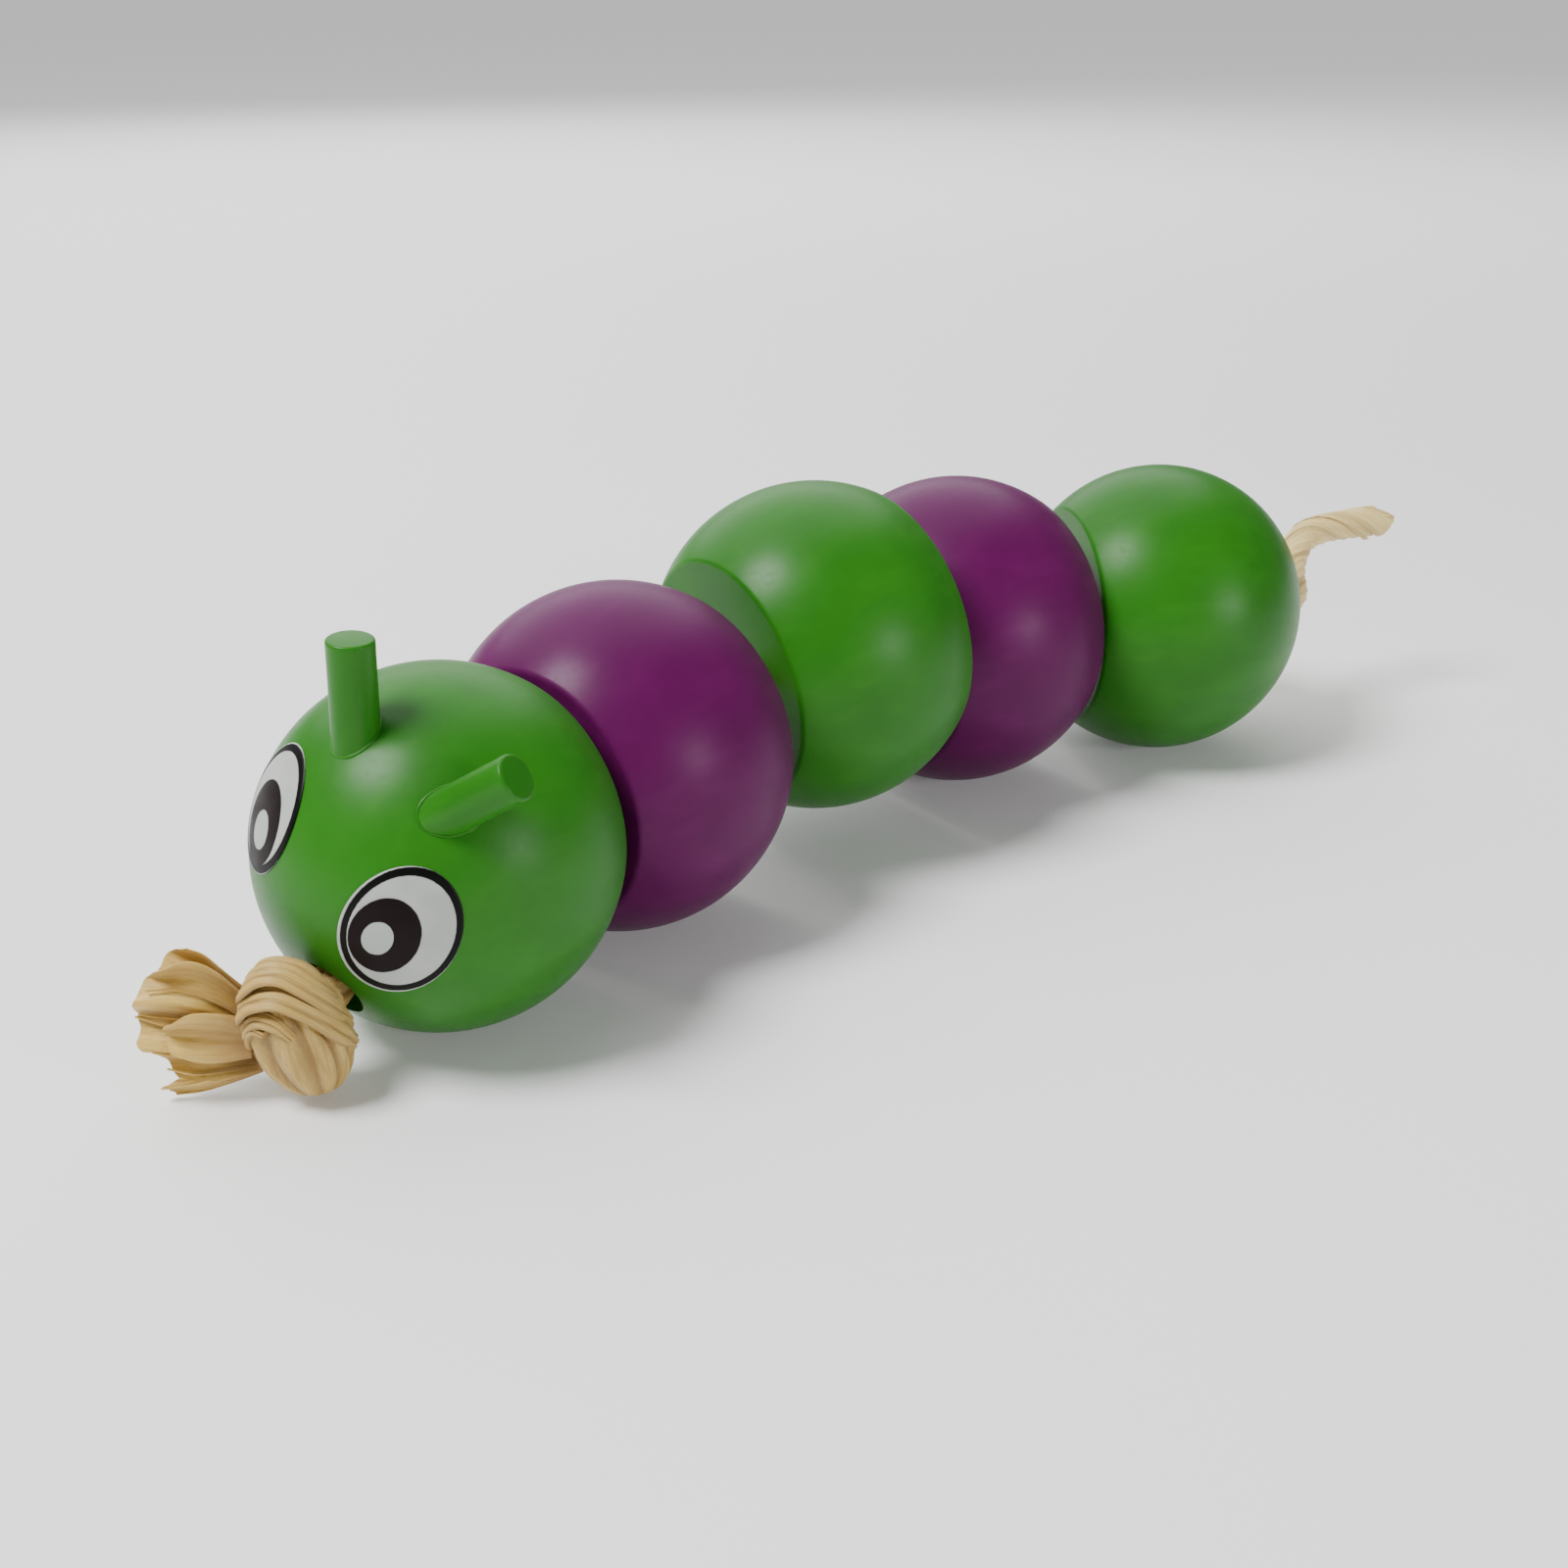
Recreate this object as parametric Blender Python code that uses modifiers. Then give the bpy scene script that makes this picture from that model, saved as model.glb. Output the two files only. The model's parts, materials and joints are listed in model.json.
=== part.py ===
"""Wooden grub pull-along toy: five turned balls strung on one straw rope.

The toy stands on the plane z = 0 with its head towards -X. Every ball has an
axial bore for the rope and a turned flat where it meets its neighbour. The rope
is knotted in front of the head and inside the back of the tail ball.
Lengths are in metres, angles in degrees.
"""
import math
from collections import namedtuple

import bmesh
import bpy
from mathutils import Matrix, Vector

MM = 0.001
COLLECTION = "wooden_grub_pull_toy"
Ball = namedtuple("Ball", "name radius spacing heading lift bore_heading bore_pitch front_flat")

# Balls, head first: name, radius, spacing from the ball in front, heading of that
# spacing, lift off the floor, heading of the bore, pitch of the bore, and the
# distance from the centre to the front flat, which the head hasn't got.
BALLS = (
    Ball("head_ball", 19.4 * MM, 0.0, 0.0, 0.0, 11.5, 0.0, None),
    Ball("front_purple_ball", 20.1 * MM, 28.0 * MM, 11.8, 0.0, 12.0, 2.0, 13.6 * MM),
    Ball("middle_green_ball", 20.4 * MM, 33.3 * MM, 5.8, 4.4 * MM, -3.6, 6.5, 13.8 * MM),
    Ball("rear_purple_ball", 20.4 * MM, 26.8 * MM, 3.2, 0.0, -4.7, 0.0, 12.4 * MM),
    Ball("tail_ball", 19.7 * MM, 31.2 * MM, -19.8, 0.0, -28.0, 0.0, 13.3 * MM),
)
HEAD_FLAT = 12.2 * MM        # head's centre to the turned flat behind it
REAR_FLAT = 11.2 * MM        # centre of each middle ball to its rear flat
RIM_ROUND = 1.0 * MM         # rounding where a flat meets the sphere
RIM_STEPS = 3
BORE_RADIUS = 4.0 * MM
BORE_FLARE = 2.0 * MM        # chamfer at each mouth of the bore
COUNTERBORE_RADIUS = 5.2 * MM
COUNTERBORE_DEPTH = 8.0 * MM
TURN_STEPS = 36              # facets round a ball
SPHERE_STEPS = 12            # facets along a ball between its flats
ROUND_END_EXTRA = 4          # more facets along a ball whose one end is round
DRILL_SIDES = 24
DRILL_REACH = 3.0 * MM       # how far a drilled hole's cutter runs past the surface
BORE_OVERLAP = 2.4 * MM      # how far each bore in the head runs past its centre
EYE_STEPS = 24
EYE_RINGS = 3
SHARP_ANGLE = 40.0

# Rope
ROPE_RADIUS = 2.4 * MM
ROPE_SIDES = 14
GAP = 0.3 * MM               # running gap between neighbouring solids
LINK_CLEARANCE = ROPE_RADIUS + GAP
LINK_STEPS = 8
ROUTE_STEPS = 3              # points between two corners of a bent rope
NECK_START = 3.2 * MM        # head's centre to the start of the rope in its neck
ELBOW_START = 2.6 * MM       # head's centre to the start of the bent rope
ELBOW_TIGHTNESS = 0.6 * MM
ELBOW_END = 3.2 * MM
NOSE_ROPE_INSET = 0.8 * MM   # how far the rope stops inside the nose hole

# Head details: directions from the centre of the head as heading and elevation.
NOSE_HOLE = (194.4, -28.5)
ANTENNA_RADIUS = 2.4 * MM
ANTENNA_SOCKET = 6.0 * MM
ANTENNA_BEVEL = 0.35 * MM
ANTENNA_SIDES = 24
# Each antenna: where it enters the head, which way it points, and its length outside.
ANTENNAE = (
    ("left_antenna", (-114.3, 35.1), (-61.0, 32.2), 8.1 * MM),
    ("right_antenna", (-164.4, 57.4), (-84.5, 86.5), 9.8 * MM),
)
EYES = (("left_eye", (-134.2, -0.9)), ("right_eye", (167.8, 25.6)))
EYE_HALF_ANGLE = 19.0
EYE_THICKNESS = 0.3 * MM

# Knots and loose ends
KNOT_OFFSET = 24.2 * MM      # centre of the head to the centre of the nose knot
KNOT_HALF_SIZE = (4.4 * MM, 5.2 * MM, 6.8 * MM)
SMOOTHED_SHARE = 0.84        # a smoothed cube reaches this share of its cage's half width
TUFT_PATH = ((-25.6, -0.9, 8.0), (-29.0, 2.2, 8.4), (-32.4, 5.3, 8.6))
TUFT_HALF_WIDTHS = (2.2, 4.2, 6.2)
TUFT_FLATNESS = 0.72
TUFT_SIDES = 14
TAIL_KNOT_RADIUS = 4.8 * MM
TAIL_KNOT_WAIST = 3.4 * MM
TAIL_KNOT_LENGTH = 7.0 * MM
TAIL_KNOT_SHOULDER = 0.28    # share of the knot's length taken by each rounded end
TAIL_KNOT_SIDES = 20
TAIL_STUB = 2.2 * MM         # straight rope between the tail knot and the first bend
TAIL_BENDS = ((139.6, -5.9, 22.4), (143.8, -4.6, 25.2), (149.5, -5.6, 26.2), (157.5, -8.7, 26.3))

COLOURS = {
    "green_paint": ((0.035, 0.235, 0.014), 0.38),
    "purple_paint": ((0.105, 0.010, 0.075), 0.38),
    "eye_print": ((0.62, 0.64, 0.60), 0.35),
    "straw_rope": ((0.56, 0.42, 0.21), 0.75),
}


def direction(heading, elevation):
    """Unit vector for a heading about +Z from +X and an elevation, in degrees."""
    turn = math.radians(heading)
    rise = math.radians(elevation)
    level = math.cos(rise)
    return Vector((level * math.cos(turn), level * math.sin(turn), math.sin(rise)))


def clear_scene():
    for item in list(bpy.data.objects):
        bpy.data.objects.remove(item, do_unlink=True)


def new_collection(name):
    group = bpy.data.collections.new(name)
    bpy.context.scene.collection.children.link(group)
    return group


def ball_centres():
    """Centres of the five balls; spacings are in plan, so a lift doesn't change them."""
    centres = []
    x = 0.0
    y = 0.0
    for ball in BALLS:
        x += ball.spacing * math.cos(math.radians(ball.heading))
        y += ball.spacing * math.sin(math.radians(ball.heading))
        centres.append(Vector((x, y, ball.radius + ball.lift)))
    return centres


def bore_axes():
    return [direction(ball.bore_heading, ball.bore_pitch) for ball in BALLS]


def bend_points():
    """Middle of the gap between each pair of balls, where the rope bends."""
    centres = ball_centres()
    axes = bore_axes()
    points = []
    for index in range(len(BALLS) - 1):
        behind = REAR_FLAT if index else HEAD_FLAT
        front = centres[index] + axes[index] * behind
        back = centres[index + 1] - axes[index + 1] * BALLS[index + 1].front_flat
        points.append((front + back) / 2.0)
    return points


def paint(name, kind):
    """Own material for one sub-part, in one of the toy's four finishes."""
    colour, roughness = COLOURS[kind]
    material = bpy.data.materials.new(name + "_" + kind)
    material.use_nodes = True
    shader = material.node_tree.nodes["Principled BSDF"]
    shader.inputs["Base Color"].default_value = (*colour, 1.0)
    shader.inputs["Roughness"].default_value = roughness
    shader.inputs["Metallic"].default_value = 0.0
    return material


def axis_frame(origin, axis):
    """Matrix whose local +Z runs along axis from origin."""
    turn = Vector((0.0, 0.0, 1.0)).rotation_difference(axis.normalized())
    return Matrix.Translation(origin) @ turn.to_matrix().to_4x4()


def smooth(mesh):
    mesh.shade_smooth()
    mesh.set_sharp_from_angle(angle=math.radians(SHARP_ANGLE))


def outline_mesh(name, outline, closed):
    mesh = bpy.data.meshes.new(name)
    edges = [(index, index + 1) for index in range(len(outline) - 1)]
    if closed:
        edges.append((len(outline) - 1, 0))
    mesh.from_pydata([(radius, 0.0, height) for radius, height in outline], edges, [])
    return mesh


def turned(name, outline, closed, steps, group):
    """Turn an outline of (radius, height) about local Z with a Screw modifier."""
    item = bpy.data.objects.new(name, outline_mesh(name, outline, closed))
    group.objects.link(item)
    screw = item.modifiers.new("turn", "SCREW")
    screw.axis = "Z"
    screw.steps = steps
    screw.render_steps = steps
    screw.use_merge_vertices = True
    screw.merge_threshold = 0.00001
    screw.use_smooth_shade = True
    return item


def rim_corner(radius, flat):
    """Centre of the rim rounding, and its angle where it meets the sphere."""
    height = flat - RIM_ROUND
    across = math.sqrt((radius - RIM_ROUND) ** 2 - height ** 2)
    return across, height, math.atan2(height, across)


def rim_outline(radius, flat):
    """Rounded rim at an upper flat, from the flat down to the sphere."""
    across, height, meet = rim_corner(radius, flat)
    points = []
    for step in range(RIM_STEPS):
        angle = math.pi / 2.0 + (meet - math.pi / 2.0) * step / RIM_STEPS
        points.append((across + RIM_ROUND * math.cos(angle), height + RIM_ROUND * math.sin(angle)))
    return points


def sphere_outline(radius, start, end, steps):
    points = []
    for step in range(steps + 1):
        angle = start + (end - start) * step / steps
        points.append((radius * math.cos(angle), radius * math.sin(angle)))
    return points


def front_end(radius, flat):
    """Front flat with its rim and flared bore mouth, running down from the sphere."""
    rim = [(across, -height) for across, height in reversed(rim_outline(radius, flat))]
    outer = (BORE_RADIUS + BORE_FLARE, -flat)
    inner = (BORE_RADIUS, BORE_FLARE - flat)
    return rim + [outer, inner]


def middle_ball(name, radius, front_flat, group):
    """Ball with a bore through it and a flat with a flared mouth at each end."""
    top = rim_corner(radius, REAR_FLAT)[2]
    low = -rim_corner(radius, front_flat)[2]
    outline = [(BORE_RADIUS + BORE_FLARE, REAR_FLAT)] + rim_outline(radius, REAR_FLAT)
    outline += sphere_outline(radius, top, low, SPHERE_STEPS)
    outline += front_end(radius, front_flat)
    outline.append((BORE_RADIUS, REAR_FLAT - BORE_FLARE))
    return turned(name, outline, True, TURN_STEPS, group)


def tail_ledge():
    """Distance from the tail ball's centre to the bottom of its counterbore."""
    return math.sqrt(BALLS[-1].radius ** 2 - COUNTERBORE_RADIUS ** 2) - COUNTERBORE_DEPTH


def tail_ball(name, radius, front_flat, group):
    """Last ball: flat at the front, round at the back, counterbored for the knot."""
    mouth = math.acos(COUNTERBORE_RADIUS / radius)
    low = -rim_corner(radius, front_flat)[2]
    ledge = tail_ledge()
    outline = sphere_outline(radius, mouth, low, SPHERE_STEPS + ROUND_END_EXTRA)
    outline += front_end(radius, front_flat)
    outline += [(BORE_RADIUS, ledge), (COUNTERBORE_RADIUS, ledge)]
    return turned(name, outline, True, TURN_STEPS, group)


def head_blank(name, radius, group):
    """Head before drilling: flat at the back, round at the front."""
    meet = rim_corner(radius, HEAD_FLAT)[2]
    outline = [(0.0, HEAD_FLAT)] + rim_outline(radius, HEAD_FLAT)
    outline += sphere_outline(radius, meet, -math.pi / 2.0, SPHERE_STEPS + ROUND_END_EXTRA + 1)
    outline[-1] = (0.0, -radius)
    return turned(name, outline, False, TURN_STEPS, group)


def drill(name, start, end, radius, group):
    """Cylindrical cutter from start to end."""
    mesh = bpy.data.meshes.new(name)
    form = bmesh.new()
    bmesh.ops.create_cone(
        form, cap_ends=True, segments=DRILL_SIDES, radius1=radius, radius2=radius,
        depth=(end - start).length)
    form.to_mesh(mesh)
    form.free()
    item = bpy.data.objects.new(name, mesh)
    item.matrix_world = axis_frame((start + end) / 2.0, end - start)
    item.hide_render = True
    item.display_type = "WIRE"
    group.objects.link(item)
    return item


def cut(target, cutter):
    boolean = target.modifiers.new("cut_" + cutter.name, "BOOLEAN")
    boolean.operation = "DIFFERENCE"
    boolean.solver = "EXACT"
    boolean.object = cutter


def build_head(centre, axis, group, cutters):
    """Head ball with its neck bore, nose hole and two antenna sockets."""
    name = BALLS[0].name
    radius = BALLS[0].radius
    head = head_blank(name, radius, group)
    head.matrix_world = axis_frame(centre, axis)
    outside = radius + DRILL_REACH
    for label, along in (("neck_bore", axis), ("nose_bore", direction(*NOSE_HOLE))):
        start = centre - along * BORE_OVERLAP
        cut(head, drill(label, start, centre + along * outside, BORE_RADIUS, cutters))
    socket_radius = ANTENNA_RADIUS + GAP
    for label, place, lean, _ in ANTENNAE:
        foot = centre + direction(*place) * radius
        along = direction(*lean)
        start = foot - along * (ANTENNA_SOCKET + GAP)
        cut(head, drill(label + "_socket", start, foot + along * outside, socket_radius, cutters))
    head.data.materials.append(paint(name, "green_paint"))


def build_balls(group, cutters):
    centres = ball_centres()
    axes = bore_axes()
    build_head(centres[0], axes[0], group, cutters)
    last = len(BALLS) - 1
    for index in range(1, len(BALLS)):
        name = BALLS[index].name
        make = tail_ball if index == last else middle_ball
        ball = make(name, BALLS[index].radius, BALLS[index].front_flat, group)
        ball.matrix_world = axis_frame(centres[index], axes[index])
        ball.data.materials.append(paint(name, "purple_paint" if index % 2 else "green_paint"))


def build_antennae(centre, radius, group):
    """Dowels glued into blind sockets on top of the head."""
    for label, place, lean, length in ANTENNAE:
        foot = centre + direction(*place) * radius
        outline = [
            (0.0, length),
            (ANTENNA_RADIUS - ANTENNA_BEVEL, length),
            (ANTENNA_RADIUS, length - ANTENNA_BEVEL),
            (ANTENNA_RADIUS, -ANTENNA_SOCKET),
            (0.0, -ANTENNA_SOCKET),
        ]
        dowel = turned(label, outline, False, ANTENNA_SIDES, group)
        dowel.matrix_world = axis_frame(foot, direction(*lean))
        dowel.data.materials.append(paint(label, "green_paint"))


def build_eyes(centre, radius, group):
    """Thin round eye patches that follow the curve of the head."""
    inner = radius + GAP
    outer = inner + EYE_THICKNESS
    edge = math.radians(90.0 - EYE_HALF_ANGLE)
    for label, place in EYES:
        outline = sphere_outline(outer, math.pi / 2.0, edge, EYE_RINGS)
        outline += sphere_outline(inner, edge, math.pi / 2.0, EYE_RINGS)
        outline[0] = (0.0, outer)
        outline[-1] = (0.0, inner)
        patch = turned(label, outline, False, EYE_STEPS, group)
        patch.matrix_world = axis_frame(centre, direction(*place))
        patch.data.materials.append(paint(label, "eye_print"))


def straight_rope(name, start, end, group):
    """Stiff stretch of rope between two points."""
    length = (end - start).length
    outline = [(0.0, length), (ROPE_RADIUS, length), (ROPE_RADIUS, 0.0), (0.0, 0.0)]
    item = turned(name, outline, False, ROPE_SIDES, group)
    item.matrix_world = axis_frame(start, end - start)
    item.data.materials.append(paint(name, "straw_rope"))


def rope_tube(name, points, group):
    """Bent stretch of rope: a curve through points with filled ends."""
    data = bpy.data.curves.new(name, "CURVE")
    data.dimensions = "3D"
    data.bevel_depth = ROPE_RADIUS
    data.bevel_resolution = 2
    data.use_fill_caps = True
    spline = data.splines.new("POLY")
    spline.points.add(len(points) - 1)
    for point, place in zip(spline.points, points):
        point.co = (*place, 1.0)
    item = bpy.data.objects.new(name, data)
    group.objects.link(item)
    data.materials.append(paint(name, "straw_rope"))


def smooth_route(corners, steps):
    """Points on a Catmull-Rom curve through the corners."""
    padded = [corners[0] * 2.0 - corners[1], *corners, corners[-1] * 2.0 - corners[-2]]
    route = []
    for index in range(1, len(padded) - 2):
        before, start, end, after = padded[index - 1:index + 3]
        for step in range(steps):
            t = step / steps
            square = t * t
            cube = square * t
            place = start * 2.0 + (end - before) * t
            place += (before * 2.0 - start * 5.0 + end * 4.0 - after) * square
            place += (start * 3.0 - before - end * 3.0 + after) * cube
            route.append(place / 2.0)
    route.append(padded[-2])
    return route


def rope_ends(index):
    """Distances from a ball's centre, along its bore, to the ends of its rope."""
    centre = ball_centres()[index]
    axis = bore_axes()[index]
    bends = bend_points()
    ends = []
    if index > 0:
        ends.append((bends[index - 1] - centre).dot(axis) + LINK_CLEARANCE)
    if index < len(bends):
        ends.append((bends[index] - centre).dot(axis) - LINK_CLEARANCE)
    return ends


def build_rope_in_head(centre, axis, radius, group):
    """Rope that turns inside the head, from the neck bore down the nose hole."""
    nose = direction(*NOSE_HOLE)
    nose_end = radius - NOSE_ROPE_INSET
    elbow = [
        centre + axis * ELBOW_START,
        centre + (axis + nose) * ELBOW_TIGHTNESS,
        centre + nose * ELBOW_END,
        centre + nose * nose_end * 0.5,
        centre + nose * nose_end,
    ]
    rope_tube("rope_in_head", smooth_route(elbow, ROUTE_STEPS), group)
    neck_end = centre + axis * rope_ends(0)[0]
    straight_rope("rope_in_neck", centre + axis * NECK_START, neck_end, group)


def build_rope_in_balls(group):
    """Rope inside the bores behind the head, one stretch for each ball."""
    centres = ball_centres()
    axes = bore_axes()
    for index in range(1, len(BALLS)):
        name = "rope_in_" + BALLS[index].name.replace("_ball", "")
        ends = rope_ends(index)
        if len(ends) == 1:
            ends.append(tail_ledge())
        start, end = [centres[index] + axes[index] * distance for distance in ends]
        straight_rope(name, start, end, group)


def build_rope_links(group):
    """Round turn of rope in each gap, where the toy bends."""
    for number, place in enumerate(bend_points(), start=1):
        name = "rope_link_" + str(number)
        outline = sphere_outline(ROPE_RADIUS, math.pi / 2.0, -math.pi / 2.0, LINK_STEPS)
        outline[0] = (0.0, ROPE_RADIUS)
        outline[-1] = (0.0, -ROPE_RADIUS)
        link = turned(name, outline, False, ROPE_SIDES, group)
        link.matrix_world = Matrix.Translation(place)
        link.data.materials.append(paint(name, "straw_rope"))


def soft_block(name, half_size, group):
    """Rounded block from a cube cage with Subdivision Surface."""
    mesh = bpy.data.meshes.new(name)
    form = bmesh.new()
    bmesh.ops.create_cube(form, size=2.0)
    for vert in form.verts:
        vert.co = Vector([side * half / SMOOTHED_SHARE for side, half in zip(vert.co, half_size)])
    form.to_mesh(mesh)
    form.free()
    item = bpy.data.objects.new(name, mesh)
    group.objects.link(item)
    subdivision = item.modifiers.new("round", "SUBSURF")
    subdivision.levels = 3
    subdivision.render_levels = 3
    item.data.materials.append(paint(name, "straw_rope"))
    return item


def build_nose_knot(centre, group):
    knot = soft_block("nose_knot", KNOT_HALF_SIZE, group)
    nose = direction(*NOSE_HOLE)
    level = Vector((0.0, 0.0, 1.0)).cross(nose).normalized()
    upright = nose.cross(level)
    turn = Matrix((nose, level, upright)).transposed().to_4x4()
    knot.matrix_world = Matrix.Translation(centre + nose * KNOT_OFFSET) @ turn


def build_nose_tuft(group):
    """Frayed end of the rope as one plain fan that widens away from the knot."""
    form = bmesh.new()
    places = [Vector(place) * MM for place in TUFT_PATH]
    along = (places[-1] - places[0]).normalized()
    level = Vector((0.0, 0.0, 1.0)).cross(along).normalized()
    upright = along.cross(level)
    rings = []
    for place, width in zip(places, TUFT_HALF_WIDTHS):
        ring = []
        for side in range(TUFT_SIDES):
            angle = 2.0 * math.pi * side / TUFT_SIDES
            offset = upright * math.sin(angle) + level * math.cos(angle) * TUFT_FLATNESS
            ring.append(form.verts.new(place + offset * width * MM))
        rings.append(ring)
    for inner, outer in zip(rings, rings[1:]):
        for side in range(TUFT_SIDES):
            after = (side + 1) % TUFT_SIDES
            form.faces.new((inner[side], inner[after], outer[after], outer[side]))
    form.faces.new(rings[0])
    form.faces.new(rings[-1])
    bmesh.ops.recalc_face_normals(form, faces=form.faces)
    mesh = bpy.data.meshes.new("nose_tuft")
    form.to_mesh(mesh)
    form.free()
    smooth(mesh)
    mesh.materials.append(paint("nose_tuft", "straw_rope"))
    group.objects.link(bpy.data.objects.new("nose_tuft", mesh))


def build_tail_end(centre, axis, group):
    """Knot in the tail's counterbore and the rope end that sticks out of it."""
    base = tail_ledge() + GAP
    outline = [
        (0.0, TAIL_KNOT_LENGTH),
        (TAIL_KNOT_WAIST, TAIL_KNOT_LENGTH),
        (TAIL_KNOT_RADIUS, TAIL_KNOT_LENGTH * (1.0 - TAIL_KNOT_SHOULDER)),
        (TAIL_KNOT_RADIUS, TAIL_KNOT_LENGTH * TAIL_KNOT_SHOULDER),
        (TAIL_KNOT_WAIST, 0.0),
        (0.0, 0.0),
    ]
    knot = turned("tail_knot", outline, False, TAIL_KNOT_SIDES, group)
    knot.matrix_world = axis_frame(centre + axis * base, axis)
    knot.data.materials.append(paint("tail_knot", "straw_rope"))
    start = base + TAIL_KNOT_LENGTH + 2.0 * GAP
    corners = [centre + axis * start, centre + axis * (start + TAIL_STUB)]
    corners += [Vector(place) * MM for place in TAIL_BENDS]
    rope_tube("tail_rope_end", smooth_route(corners, ROUTE_STEPS), group)


def origin_shift(group):
    """Shift that puts the middle of the toy's bounding box over the origin, on z = 0."""
    bpy.context.view_layer.update()
    graph = bpy.context.evaluated_depsgraph_get()
    low = Vector((math.inf, math.inf, math.inf))
    high = -low
    for item in group.objects:
        shape = item.evaluated_get(graph)
        mesh = shape.to_mesh()
        for vert in mesh.vertices:
            place = shape.matrix_world @ vert.co
            low = Vector(map(min, low, place))
            high = Vector(map(max, high, place))
        shape.to_mesh_clear()
    return Vector(((low.x + high.x) / -2.0, (low.y + high.y) / -2.0, -low.z))


def move_all(groups, shift):
    for group in groups:
        for item in group.objects:
            item.matrix_world = Matrix.Translation(shift) @ item.matrix_world


def main():
    clear_scene()
    group = new_collection(COLLECTION)
    cutters = new_collection("cutters")
    head_centre = ball_centres()[0]
    head_axis = bore_axes()[0]
    head_radius = BALLS[0].radius
    build_balls(group, cutters)
    build_antennae(head_centre, head_radius, group)
    build_eyes(head_centre, head_radius, group)
    build_rope_in_head(head_centre, head_axis, head_radius, group)
    build_rope_in_balls(group)
    build_rope_links(group)
    build_nose_knot(head_centre, group)
    build_nose_tuft(group)
    build_tail_end(ball_centres()[-1], bore_axes()[-1], group)
    move_all((group, cutters), origin_shift(group))


main()
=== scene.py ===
"""Looks for the jointed wooden grub: satin painted balls, printed eyes, dowel antennae, straw rope."""
import json
import math
import random

import bmesh
import bpy
from mathutils import Matrix, Vector


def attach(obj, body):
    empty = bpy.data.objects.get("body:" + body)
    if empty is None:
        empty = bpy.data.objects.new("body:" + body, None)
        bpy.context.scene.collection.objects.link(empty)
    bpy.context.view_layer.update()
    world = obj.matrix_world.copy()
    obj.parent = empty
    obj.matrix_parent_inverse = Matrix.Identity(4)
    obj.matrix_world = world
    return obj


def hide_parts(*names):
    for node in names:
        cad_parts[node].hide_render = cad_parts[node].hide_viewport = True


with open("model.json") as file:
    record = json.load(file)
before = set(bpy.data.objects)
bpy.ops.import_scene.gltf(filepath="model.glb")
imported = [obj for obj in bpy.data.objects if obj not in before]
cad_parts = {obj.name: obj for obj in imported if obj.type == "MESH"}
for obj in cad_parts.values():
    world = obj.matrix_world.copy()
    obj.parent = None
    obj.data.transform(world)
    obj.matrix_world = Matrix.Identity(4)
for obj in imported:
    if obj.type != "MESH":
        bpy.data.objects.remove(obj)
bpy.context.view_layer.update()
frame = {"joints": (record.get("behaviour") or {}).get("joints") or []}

MM = 0.001
UP = Vector((0.0, 0.0, 1.0))

# The balls' own dimensions
HEAD_FLAT = 12.2 * MM        # head's centre to the turned flat behind it
REAR_FLAT = 11.2 * MM        # centre of each middle ball to its rear flat
RIM_ROUND = 1.0 * MM         # rounding where a flat meets the sphere
BORE_RADIUS = 4.0 * MM
NOSE_BORE_RADIUS = 3.92 * MM
BORE_FLARE = 2.0 * MM        # how deep each bore's mouth is flared
MOUTH_ROUND = 0.5 * MM       # rounding at the outer edge of the flare
COUNTERBORE_RADIUS = 5.2 * MM
COUNTERBORE_DEPTH = 8.0 * MM
COUNTERBORE_LIP = 0.5 * MM   # rounding at the counterbore's mouth
DRILL_REACH = 3.0 * MM       # how far a drilled hole's cutter runs past the surface
NOSE = (194.4, -28.5)        # heading and elevation of the nose hole, in degrees
# Balls behind the head: radius and distance from the centre to the front flat
BALLS = {
    "front_purple": (20.1 * MM, 13.6 * MM),
    "middle_green": (20.4 * MM, 13.8 * MM),
    "rear_purple": (20.4 * MM, 12.4 * MM),
    "tail": (19.7 * MM, 13.3 * MM),
}
# Antennae: where each enters the head and which way it points, as heading and elevation in degrees, and its
# length outside the head
ANTENNAE = {
    "left": ((-114.3, 35.1), (-61.0, 32.2), 8.1 * MM),
    "right": ((-164.4, 57.4), (-84.5, 86.5), 9.8 * MM),
}
ANTENNA_RADIUS = 2.4 * MM
ANTENNA_EDGE = 0.35 * MM     # rounding of the free end
ANTENNA_WAVER = 0.035 * MM   # how far the dowel's side is out of true
BEAD_RADIUS = 0.20 * MM      # paint gathered where an antenna enters the head
# Each eye's printed patch, black ring, pupil and highlight: heading, elevation and angular radius, in degrees
EYES = {
    "left": ((-134.2, -0.9, 19.3), (-133.6, -0.6, 18.9), (-138.2, -1.4, 11.4), (-140.1, -1.9, 5.0)),
    "right": ((167.8, 25.6, 18.7), (168.4, 25.7, 18.4), (168.8, 20.9, 12.0), (170.0, 18.9, 5.4)),
}
RING_WIDTH = 2.3             # black ring, in degrees
PRINT_BLUR = 0.12            # half width of the print's soft edges, in degrees
# Each eye is an oval: its width and height against round, and how far its top leans to its right, in degrees
OVALS = {"left": (0.883, 1.136, 33.0), "right": (0.965, 1.080, 0.0)}
EYE_UNDERSIDE = 0.05 * MM    # how far the printed patch is let into the head
EYE_EDGE = 0.08 * MM         # height of its rim above the head
EYE_CROWN = 0.16 * MM        # height of its face above the head
EYE_BEVEL = 0.002            # how far its rim stands out past its underside, in radians

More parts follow.
